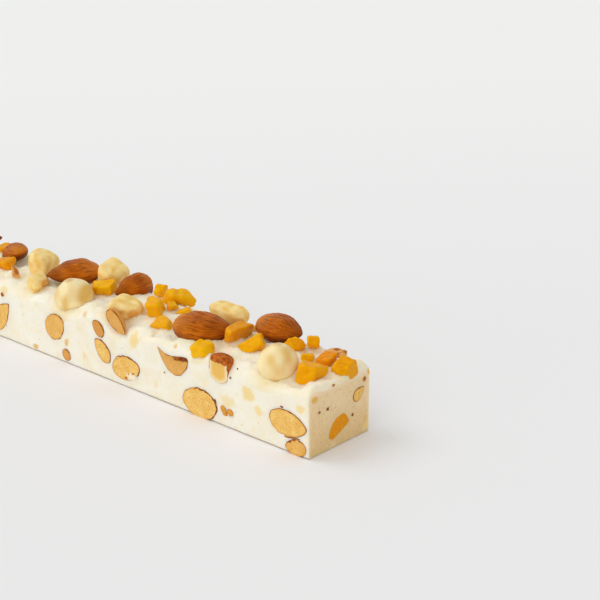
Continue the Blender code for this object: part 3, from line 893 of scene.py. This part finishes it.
@once
def driedApricot():
    made, g, shader = start(
        "driedApricot", 0.4, (300.0, 1500.0, 0.4), (0.3, 0.0004), (0.2, (1.0, 0.45, 0.05), 0.002), 0.24,
        (1.0, 0.5, 0.03),
    )
    body = g.mix(g.mark("tint"), screen(250, 196, 18), screen(224, 122, 0))
    body = g.mix(g.span(g.mark("tone"), 0.0, 1.2, 0.0, 0.35), body, screen(234, 144, 0))
    body = g.mix(g.span(g.noise(600.0), 0.5, 0.7, 0.0, 0.3), body, screen(255, 196, 18))
    body = g.mix(g.span(g.noise(900.0), 0.54, 0.7, 0.0, 0.2), body, screen(220, 124, 0))
    # the edges are painted lighter: partly the fruit's paler cut edges, partly a painted highlight
    body = g.mix(g.span(g.mark("edge"), 0.5, 1.0, 0.0, 0.4), body, screen(252, 190, 14))
    g.link(body, shader.inputs["Base Color"])
    return made


@once
def brownSkinnedNut():
    made, g, shader = start(
        "brownSkinnedNut", 0.5, (500.0, 2400.0, 0.5), (0.5, 0.0004), (0.1, (1.0, 0.6, 0.3), 0.001), 0.1
    )
    flesh = g.mix(g.span(g.mark("gap"), 0.5, 2.0), screen(251, 228, 180), screen(240, 192, 98))
    skin = g.mix(g.span(g.noise(700.0, 4.0), 0.35, 0.65), screen(206, 112, 38), screen(140, 62, 14))
    g.link(g.mix(g.mark("flesh"), skin, flesh), shader.inputs["Base Color"])
    return made


@once
def softNougat():
    made, g, shader = start(
        "softNougat", 0.62, (260.0, 1800.0, 0.35), (0.25, 0.0005), (0.6, (1.0, 0.8, 0.55), 0.003), 0.15
    )
    body = g.mix(g.span(g.noise(90.0, 4.0), 0.35, 0.7), screen(255, 246, 231), screen(252, 239, 217))
    # painted shade: the ends darker towards the bottom
    ends = g.mix(g.mark("low"), screen(242, 214, 168), screen(230, 196, 138))
    ends = g.mix(g.span(g.noise(800.0, 3.0), 0.5, 0.7, 0.0, 0.5), ends, screen(222, 184, 128))
    # the ends' tan: partly their own colour, partly painted warm shade
    body = g.mix(g.mark("endTanAndShade"), body, ends)
    body = g.mix(g.span(g.mark("crown"), 0.0, 1.0, 0.0, 0.5), body, screen(255, 243, 220))
    # random warm patches on the top: painted warm light thrown back from the pieces
    warm = g.math("MULTIPLY", g.mark("crown"), g.span(g.noise(120.0), 0.4, 0.65, 0.0, 0.3))
    body = g.mix(warm, body, screen(250, 228, 176))
    # warmer where the nougat climbs the pieces: painted warm light thrown from them
    close = g.math("POWER", g.mark("near"), 0.7)
    body = g.mix(g.span(close, 0.05, 1.0, 0.0, 0.6), body, screen(248, 222, 158))
    body = g.mix(g.span(g.noise(170.0), 0.52, 0.72, 0.0, 0.38), body, screen(250, 228, 184))
    body = g.mix(g.span(g.noise(420.0), 0.56, 0.72, 0.0, 0.25), body, screen(246, 222, 174))
    body = g.mix(g.span(g.mark("fleck"), 0.0, 1.0, 0.0, 0.75), body, screen(249, 216, 132))
    body = g.mix(g.span(g.mark("spot"), 0.1, 0.9, 0.0, 0.85), body, screen(230, 178, 66))
    # a thin dark line along the base: painted contact shadow
    body = g.mix(g.span(g.mark("foot"), 0.0, 1.0, 0.0, 0.7), body, screen(170, 126, 76))
    small = g.span(g.cells(330.0).outputs["Distance"], 0.05, 0.1, 1.0, 0.0)
    rare = g.span(g.noise(140.0, 1.0), 0.66, 0.7)
    body = g.mix(g.math("MULTIPLY", small, rare), body, screen(216, 176, 104))
    g.link(body, shader.inputs["Base Color"])
    return made


# flecks under the surface: face, (along, up) on it, (width, height), spot or fleck, strength
flecks = [
    ("front", (87.2, 20.7), (5.5, 5.7), "fleck", 1.0),
    ("front", (27.9, 15.9), (5.7, 5.3), "fleck", 1.0),
    ("front", (22.9, 10.9), (3.6, 3.1), "fleck", 0.9),
    ("front", (4.0, 17.2), (3.9, 3.5), "fleck", 0.9),
    ("front", (38.0, 10.0), (6.5, 4.0), "fleck", 0.7),
    ("front", (78.5, 24.4), (2.4, 2.0), "spot", 1.0),
    ("front", (65.2, 23.5), (1.6, 1.4), "spot", 0.7),
    ("front", (75.5, 6.0), (2.5, 3.5), "fleck", 0.5),
    ("front", (116.5, 23.5), (2.8, 2.2), "spot", 0.65),
    ("front", (104.0, 24.0), (4.0, 3.0), "fleck", 0.5),
    ("front", (156.0, 14.0), (3.0, 2.6), "spot", 0.3),
    ("front", (147.0, 20.5), (3.5, 3.0), "fleck", 0.4),
    ("front", (149.5, 2.0), (3.6, 2.6), "spot", 0.9),
    ("front", (128.5, 8.7), (2.8, 3.6), "spot", 0.85),
    ("front", (117.5, 6.6), (2.2, 3.2), "fleck", 0.8),
    ("front", (168.0, 22.0), (4.5, 3.5), "fleck", 0.8),
    ("front", (120.0, 17.0), (3.0, 2.0), "fleck", 0.35),
    ("front", (31.0, 3.2), (1.3, 1.2), "spot", 0.4),
    ("front", (19.5, 22.0), (1.4, 1.2), "spot", 0.3),
    ("front", (22.0, 8.0), (1.6, 1.6), "fleck", 0.3),
    ("front", (184.0, 18.0), (5.0, 4.0), "fleck", 0.8),
    ("front", (195.0, 9.0), (4.0, 4.4), "fleck", 0.7),
    ("front", (228.0, 14.0), (4.5, 4.0), "fleck", 0.8),
    ("end", (3.3, 20.9), (2.8, 2.6), "spot", 0.9),
    ("end", (31.2, 22.7), (2.0, 3.0), "spot", 1.0),
    ("end", (29.6, 5.7), (3.0, 2.8), "spot", 0.35),
    ("end", (30.2, 2.5), (3.0, 2.2), "fleck", 0.9),
    ("end", (2.3, 17.7), (1.3, 1.2), "spot", 0.35),
    ("end", (12.5, 23.0), (1.4, 1.0), "spot", 0.4),
]


# flecks by chance on the faces out of sight, in even steps along each
def hiddenFlecks():
    draw = random.Random(7)
    rows = []
    for face, reach, count in (("back", bar["length"], 34), ("far", bar["width"], 7)):
        for i in range(count):
            place = (reach * (i + draw.uniform(0.2, 0.8)) / count, draw.uniform(2.5, 22.5))
            size = (draw.uniform(1.4, 5.4), draw.uniform(1.4, 4.6))
            sort = "fleck" if size[0] > 2.6 else "spot"
            rows.append((face, place, size, sort, draw.uniform(0.4, 1.0)))
    return rows


# soft-edged ovals: 1 in the middle of each fleck, falling to 0 past its wavering outline by the
# smooth step 3f^2 - 2f^3. Where two overlap, the stronger one shows.
def fleckMark(points, kind):
    back = bar["length"] / 2 - points[..., 0]
    inward = points[..., 1] + bar["width"] / 2
    up = points[..., 2]
    total = np.zeros(back.shape)
    wobble = 1 + 0.16 * waves(points, 3.5, 5)
    faces = {
        "front": (back, inward < 3.2),
        "end": (inward, back < 0.6),
        "back": (back, inward > bar["width"] - 1.0),
        "far": (inward, back > bar["length"] - 0.6),
    }
    for face, (along, high), (wide, tall), sort, strength in flecks + hiddenFlecks():
        if sort != kind:
            continue
        across, here = faces[face]
        away = np.sqrt(((across - along) / wide * 2) ** 2 + ((up - high) / tall * 2) ** 2) * wobble
        fill = np.clip((1.25 - away) / 0.6, 0, 1)
        total = np.maximum(total, strength * here * fill * fill * (3 - 2 * fill))
    return total


# height of the top, as the solid's: half a cosine wave up from the front to the back, a broad
# swell along and across, and two smaller slanting waves
def topHeight(back, inward):
    share = np.minimum(1.0, inward / (bar["width"] - bar["topEdge"]))
    slope = bar["backRise"] * 0.5 * (1 - np.cos(math.pi * share))
    swell = 0.55 * np.sin(back * 0.105 + 0.8) * np.cos(inward * 0.16 + 0.4)
    ripple = 0.38 * np.sin(back * 0.31 + inward * 0.22)
    lumpy = 0.28 * np.cos(back * 0.23 - inward * 0.41 + 1.1)
    return bar["height"] + slope + swell + ripple + lumpy


# how far the nougat climbs at each point: outside the oval where a piece passes through the
# top, a collar falls away as exp(-distance / reach), and the highest collar counts
def collars(back, inward, rows):
    rise = np.zeros(back.shape)
    x, y = -back, inward
    for name, form, place, size, turn in rows:
        matrix = spin(turn)
        half = np.array(size) / 2
        level = topHeight(np.array(place[0]), np.array(place[1]))
        reach = np.sqrt(((matrix * half) ** 2).sum(1))  # half extents along x, y, z
        if place[2] + reach[2] < level or name.startswith("cut_") or place[2] - reach[2] > level:
            continue
        # outline of the ellipsoid at the top's level
        shape = matrix @ np.diag(1 / half**2) @ matrix.T
        drop = level - place[2]
        flat = shape[:2, :2]
        lean = shape[:2, 2] * drop
        shift = -np.linalg.solve(flat, lean)
        left = max(0.05, 1 - shape[2, 2] * drop**2 + lean @ np.linalg.solve(flat, lean))
        dx = x + place[0] - shift[0]
        dy = y - place[1] - shift[1]
        oval = (flat[0, 0] * dx**2 + 2 * flat[0, 1] * dx * dy + flat[1, 1] * dy**2) / left
        scale = math.sqrt(left / math.sqrt(np.linalg.det(flat)))
        gap = np.maximum(0, np.sqrt(oval) - 1) * scale
        height = bar["collar"] * min(1.0, reach[2] / 3.5)  # lower round a small piece
        rise = np.maximum(rise, height * np.exp(-gap / bar["collarReach"]))
    return rise


# the block: an outline across the bar, carried along it. The outline is the front, the top with
# a quarter round at each long edge, the back and the base. The top adds to its own height the
# lumps and collars, and takes from it exp(-(distance / reach)^2) times the depth of each dip.
# Towards each end the outline draws in by a quarter round, and shrinking rings close it.
def nougatBody(rows):
    stationShare, lengthShare = bar["nearShare"]
    dense = round(bar["stations"] * stationShare)
    middle = bar["length"] * lengthShare
    first = np.linspace(0, middle, dense, endpoint=False)
    second = np.linspace(middle, bar["length"], bar["stations"] - dense)
    back = np.concatenate([first, second])
    for extra in bar["endStations"]:
        back = np.concatenate([back, [extra, bar["length"] - extra]])
    back = np.sort(back)[:, None]

    r, b = bar["topEdge"], bar["baseEdge"]
    along = np.linspace(0, 1, bar["topPoints"])
    edge = bar["edgeShare"]
    bend = np.clip(along / edge, 0, 1), np.clip((1 - along) / edge, 0, 1)
    flat = r + (bar["width"] - 2 * r) * np.clip((along - edge) / (1 - 2 * edge), 0, 1)
    inward = np.where(along < edge, r * (1 - np.cos(bend[0] * math.pi / 2)), flat)
    inward = np.where(along > 1 - edge, bar["width"] - r * (1 - np.cos(bend[1] * math.pi / 2)), inward)
    lower = r * (1 - np.sin(np.minimum(*bend) * math.pi / 2))
    lower = np.where((along >= edge) & (along <= 1 - edge), 0, lower)
    inwardTop = inward[None] + 0 * back
    soft = np.clip(1 - lower / r, 0, 1)[None]
    field = np.stack([-back + 0 * inwardTop, inwardTop, 0 * inwardTop], -1)
    top = topHeight(back, inwardTop)
    lumps = layered(field, bar["lumps"], 21)
    climb = collars(back + 0 * inwardTop, inwardTop, rows)
    edgeWave = 1 + 0.2 * waves(field, 14.0, 24)
    for place, deep, reach, depth in bar["dips"]:
        top = top - depth * np.exp(-((back - place) ** 2 + (inwardTop - deep) ** 2) / reach**2)
    top = top - bar["settle"] + (lumps + climb) * soft - lower[None] * edgeWave

    side = np.linspace(0, 1, bar["sidePoints"] + 1)[1:-1]
    frontUp = b + (top[:, :1] - b) * side[None]
    backUp = b + (top[:, -1:] - b) * side[None, ::-1]
    base = np.linspace(bar["width"] - b, b, bar["basePoints"])[None] + 0 * back
    inwardAll = np.concatenate([0 * frontUp, inwardTop, bar["width"] + 0 * backUp, base], 1)
    upAll = np.concatenate([frontUp, top, backUp, 0 * base], 1)
    crown = np.concatenate([0 * frontUp, soft + 0 * top, 0 * backUp, 0 * base], 1)
    # how far the nougat climbs the pieces, which the finish paints warmer as light thrown from them
    near = np.concatenate([0 * frontUp, climb / bar["collar"], 0 * backUp, 0 * base], 1)

    # the turn at each end
    fromEnd = np.minimum(back, bar["length"] - back)
    sideEdge, topEdge = bar["endEdge"]
    radius = sideEdge + (topEdge - sideEdge) * crown
    left = np.clip(radius - fromEnd, 0, None)
    drawIn = radius - np.sqrt(np.clip(radius**2 - left**2, 0, None))
    middleIn, middleUp = bar["width"] / 2, bar["height"] / 2
    inwardAll = inwardAll + np.sign(middleIn - inwardAll) * drawIn * (1 - crown) * (upAll > 0)
    upAll = upAll - drawIn * crown
    upAll = np.where(upAll <= 0, np.minimum(drawIn, 0.3), upAll)

    points = np.stack([bar["length"] / 2 - back + 0 * inwardAll, inwardAll - bar["width"] / 2, upAll], -1)
    # the knife leaves the sides almost flat, and nowhere proud of the pieces it went through
    relief = np.minimum(layered(points, bar["cutWaves"], 31) - bar["cutDepth"], bar["cutMost"])
    outwardSide = np.where(inwardAll < middleIn, -1.0, 1.0) * (1 - crown) * (upAll > 0.4)
    points[..., 1] += relief * outwardSide

    # rings that shrink by a cosine to the middle of the end, a little hollow in places
    def endCap(ring):
        share = np.cos(np.arange(1, bar["endRings"]) / bar["endRings"] * math.pi / 2)[:, None, None]
        middlePoint = np.array([ring[0, 0], 0.0, middleUp])
        rings = middlePoint + (ring - middlePoint) * share
        hollow = np.minimum(0.03 * waves(rings, 5.0, 33) - 0.04, 0.01)
        rings[..., 0] += hollow * np.sign(ring[0, 0]) * (share[..., 0] < 0.99)
        return rings, middlePoint

    nearRings, nearPoint = endCap(points[0])
    farRings, farPoint = endCap(points[-1])
    rings = np.concatenate([nearRings[::-1], points, farRings])
    zero = np.zeros(nearRings.shape[:2])
    # the tan of the ends, partly their own colour and partly painted warm shade, is strongest well inside
    # their edges; it fades towards the side edges as a painted highlight, and towards the top
    fromSide = bar["width"] / 2 - np.abs(rings[..., 1])
    edges = np.clip(fromSide / 1.6, 0, 1) ** 0.5
    edges = edges * (0.25 + 0.75 * np.clip((bar["height"] - 0.5 - rings[..., 2]) / 3.5, 0, 1))
    turned = np.clip(1 - fromEnd / 0.5, 0, 1) + 0 * crown
    # a breath of the same tan, painted warm light, runs on round the end's edges, over the top and along the
    # sides
    beyond = 0.45 * crown * np.clip(1 - fromEnd / 5, 0, 1)
    beyond = beyond + 0.3 * (1 - crown) * np.clip(1 - fromEnd / 2, 0, 1)
    beyond = np.concatenate([zero, beyond, zero])
    marks = {
        "crown": np.concatenate([zero, crown, zero]),
        "near": np.concatenate([zero, near, zero]),
        "endTanAndShade": np.maximum(np.concatenate([zero + 1, turned, zero + 1]) * edges, beyond),
        # darker towards the bottom of the ends: painted shade
        "low": np.clip(1 - rings[..., 2] / 16, 0, 1),
        # the lowest 0.4 mm, painted dark as a contact shadow
        "foot": np.clip(1 - rings[..., 2] / 0.4, 0, 1),
        "fleck": fleckMark(rings, "fleck"),
        "spot": fleckMark(rings, "spot"),
    }
    shell("nougat_body", rings, nearPoint, farPoint, softNougat(), "nougat", "nougat", marks)


# dark pin specks and crumbs that lie in the cut faces: face, (along, up), (width, height), sort
crumbs = {
    "marks": [
        ("front", (32.5, 24.0), (0.7, 0.7), "dark"),
        ("front", (36.2, 19.6), (0.7, 0.9), "dark"),
        ("front", (12.0, 15.9), (1.5, 0.6), "dark"),
        ("front", (9.6, 5.6), (2.6, 0.5), "brown"),
        ("front", (7.2, 5.9), (2.8, 0.55), "brown"),
        ("front", (4.9, 6.3), (2.6, 0.5), "brown"),
        ("front", (40.0, 6.8), (2.8, 2.4), "tan"),
        ("front", (39.2, 5.5), (2.5, 2.4), "tan"),
        ("front", (36.6, 6.3), (2.8, 2.8), "tan"),
        ("front", (44.0, 8.2), (1.1, 2.4), "dark"),
        ("front", (92.4, 4.0), (1.5, 0.9), "brown"),
        ("front", (88.2, 6.7), (1.6, 0.7), "brown"),
        ("front", (91.0, 5.9), (1.0, 0.6), "brown"),
        ("front", (170.0, 19.5), (2.0, 1.8), "brown"),
        ("end", (9.7, 15.5), (1.2, 1.2), "dark"),
        ("end", (5.5, 15.5), (1.1, 1.0), "brown"),
        ("end", (22.7, 9.0), (1.0, 1.0), "dark"),
        ("end", (28.9, 20.5), (1.5, 1.6), "brown"),
        ("end", (12.6, 23.2), (1.3, 0.9), "brown"),
        ("front", (70.5, 12.2), (0.8, 0.6), "brown"),
    ],
    "seed": 3,
    "sorts": {"dark": 0.0, "brown": 0.3, "tan": 1.0},  # how light each sort is
    "scattered": 30,  # pin specks over all the cut faces, by chance
    "pin": (0.2, 0.45),  # their smallest and largest size
    "stand": 0.06,  # how far a lens's middle stands out of its face
    "thick": (0.08, 0.1),  # half its thickness, and what each millimetre of its size adds
    "steps": 9,
    "around": 12,
}


@once
def crumbBrown():
    made, g, shader = start(
        "crumbBrown", 0.6, (900.0, 3000.0, 0.5), (0.4, 0.0002), (0.1, (1.0, 0.5, 0.3), 0.001), 0.1
    )
    body = g.mix(g.mark("tone"), screen(140, 80, 28), screen(226, 160, 68))
    body = g.mix(g.span(g.noise(900.0), 0.5, 0.7, 0.0, 0.4), body, screen(176, 104, 36))
    g.link(body, shader.inputs["Base Color"])
    return made


# all specks as one mesh: each is the ball, made uneven by waves and flattened to a lens, half
# sunk in its face
def crumbMesh():
    steps, around = crumbs["steps"], crumbs["around"]
    draw = np.random.default_rng(crumbs["seed"])
    lenses = []
    for face, (along, high), (wide, tall), sort in crumbs["marks"]:
        lenses.append((face, along, high, wide, tall, crumbs["sorts"][sort]))
    for _ in range(crumbs["scattered"]):
        face = ("front", "back", "end", "far")[draw.integers(0, 4)]
        reach = bar["length"] if face in ("front", "back") else bar["width"]
        size = draw.uniform(*crumbs["pin"], 2)
        lenses.append((face, draw.uniform(3, reach - 3), draw.uniform(2, 21), *size, draw.uniform(0.3, 1.0)))
    ball = directions(steps, around)
    ball = np.concatenate([[[[-1.0, 0, 0]] * around], ball, [[[1.0, 0, 0]] * around]])
    allPoints, allFaces, tones = [], [], []
    quads = ringQuads(len(ball), around)[:, ::-1]
    turns = {
        "front": (np.array([-1.0, 0, 0]), np.array([0, -1.0, 0])),
        "back": (np.array([-1.0, 0, 0]), np.array([0, 1.0, 0])),
        "end": (np.array([0, 1.0, 0]), np.array([1.0, 0, 0])),
        "far": (np.array([0, 1.0, 0]), np.array([-1.0, 0, 0])),
    }
    places = {
        "front": lambda a, u: world(a, 0, u),
        "back": lambda a, u: world(a, bar["width"], u),
        "end": lambda a, u: world(0, a, u),
        "far": lambda a, u: world(bar["length"], a, u),
    }
    for face, along, high, wide, tall, tone in lenses:
        level, out = turns[face]
        wobble = 1 + 0.12 * waves(ball * 2, 2.2, len(tones))
        flatBall = ball * wobble[..., None]
        points = flatBall[..., 1:2] * level * wide / 2 + flatBall[..., 2:3] * np.array([0, 0, 1.0]) * tall / 2
        thick = crumbs["thick"][0] + crumbs["thick"][1] * min(wide, tall)
        points = points + out * (crumbs["stand"] + flatBall[..., 0:1] * thick)
        points = points + places[face](along, high)
        allFaces.append(quads + len(tones) * points.shape[0] * around)
        allPoints.append(points.reshape(-1, 3))
        tones.append(np.full(points.shape[:2], tone).reshape(-1))
    mesh = bpy.data.meshes.new("specks")
    mesh.from_pydata(np.concatenate(allPoints) * mm, [], np.concatenate(allFaces).tolist())
    layer = mesh.attributes.new("tone", "FLOAT", "POINT")
    layer.data.foreach_set("value", np.concatenate(tones).astype(np.float32))
    mesh.materials.append(crumbBrown())
    # the doubled points at the poles are merged, and every face turned outwards
    work = bmesh.new()
    work.from_mesh(mesh)
    bmesh.ops.remove_doubles(work, verts=work.verts, dist=1e-7)
    bmesh.ops.recalc_face_normals(work, faces=work.faces)
    work.to_mesh(mesh)
    work.free()
    mesh.shade_smooth()
    piece = bpy.data.objects.new("specks", mesh)
    bpy.context.scene.collection.objects.link(piece)
    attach(piece, "root")


# which knife face a cut piece lies in: the nearest
def faceOf(place):
    back, inward, _ = place
    near, far, rear, front = knifeFaces()
    gaps = [(back, near), (bar["length"] - back, far), (bar["width"] - inward, rear), (inward, front)]
    return min(gaps, key=lambda gap: gap[0])[1]


# every piece in the form and finish that its name and its row's form ask for
def buildPieces(rows):
    for name, form, place, size, turn in rows:
        if name.startswith("cut_"):
            isApricot = form == "apricot"
            inside = roundedLumpInside(name) if isApricot else partial(almondInside, form=form)
            finish, slotName = (driedApricot(), "apricot") if isApricot else (cutAlmond(), "cut_almond")
            cutPiece(name, place, size, turn, inside, faceOf(place), finish, slotName)
        elif name == "hazelnut_3":
            cutPiece(name, place, size, turn, ballInside, faceOf(place), brownSkinnedNut(), "hazelnut")
        elif form in ("almond", "plump"):
            wholeAlmond(name, form, place, size, turn)
        elif form == "hazelnut":
            wholeHazelnut(name, place, size, turn)
        elif form == "apricot":
            lump(name, form, place, size, turn, driedApricot(), "apricot")
        elif name.startswith("almond_chip"):
            lump(name, form, place, size, turn, almondChip(), "almond")
        elif name == "almond_sliver":
            lump(name, form, place, size, turn, almondChip(), "cut_almond")
        else:
            lump(name, form, place, size, turn, brokenNut(), "nut")


# in metres, degrees and, for the lens, millimetres
stage = {
    "floor": 6.0,
    # the far floor is lighter than the near: painted light
    "floorColour": (screen(244, 244, 244), screen(251, 252, 250)),  # near and far
    "away": (-0.74, 0.67, 0),  # the way from near to far
    "farAt": 0.7,
    "camera": (0.3703, -0.2961, 0.1857),
    "aim": (71.01, 0.0, 42.2),
    "lens": 75.0,
    "sky": 0.68,
    # where the light comes from, its strength and how wide it is, in degrees
    "window": ((-0.75, -0.35, 1.0), 0.62, 35.0),
    "fill": ((0.1, -1.0, 0.42), 0.55, 60.0),
}


def softLight(name, come, strength, width):
    light = bpy.data.lights.new(name, "SUN")
    light.energy = strength
    light.angle = math.radians(width)
    made = bpy.data.objects.new(name, light)
    made.rotation_euler = Vector(come).to_track_quat("Z", "Y").to_euler()
    bpy.context.scene.collection.objects.link(made)


def makeStage():
    half = stage["floor"] / 2
    corners = [(-half, -half, 0), (half, -half, 0), (half, half, 0), (-half, half, 0)]
    mesh = bpy.data.meshes.new("floor")
    mesh.from_pydata(corners, [], [(0, 1, 2, 3)])
    paper = bpy.data.materials.new("palePaper")
    paper.use_nodes = True
    shader = paper.node_tree.nodes["Principled BSDF"]
    g = Graph(paper.node_tree)
    # the floor's colour grows lighter towards the back: painted light
    away = g.node("ShaderNodeVectorMath", operation="DOT_PRODUCT")
    away.inputs[1].default_value = stage["away"]
    g.link(g.place(), away.inputs[0])
    share = g.span(away.outputs["Value"], 0.0, stage["farAt"])
    g.link(g.mix(share, *stage["floorColour"]), shader.inputs["Base Color"])
    shader.inputs["Roughness"].default_value = 0.9
    mesh.materials.append(paper)
    floor = bpy.data.objects.new("floor", mesh)
    bpy.context.scene.collection.objects.link(floor)
    sky = bpy.data.worlds.new("studio")
    sky.use_nodes = True
    sky.node_tree.nodes["Background"].inputs["Color"].default_value = (1.0, 1.0, 1.0, 1)
    sky.node_tree.nodes["Background"].inputs["Strength"].default_value = stage["sky"]
    bpy.context.scene.world = sky
    softLight("windowLight", *stage["window"])
    softLight("fillLight", *stage["fill"])
    lens = bpy.data.cameras.new("camera")
    lens.lens = stage["lens"]
    lens.sensor_width = 36.0
    camera = bpy.data.objects.new("camera", lens)
    camera.location = stage["camera"]
    camera.rotation_euler = [math.radians(angle) for angle in stage["aim"]]
    bpy.context.scene.collection.objects.link(camera)
    bpy.context.scene.camera = camera
    bpy.context.scene.view_settings.view_transform = "Standard"


rows = placed + hiddenRows()
buildPieces(rows)
print("nuts and fruit made:", len(rows))
nougatBody(rows)
crumbMesh()
print("nougat and specks made")
makeStage()
print("stage set")
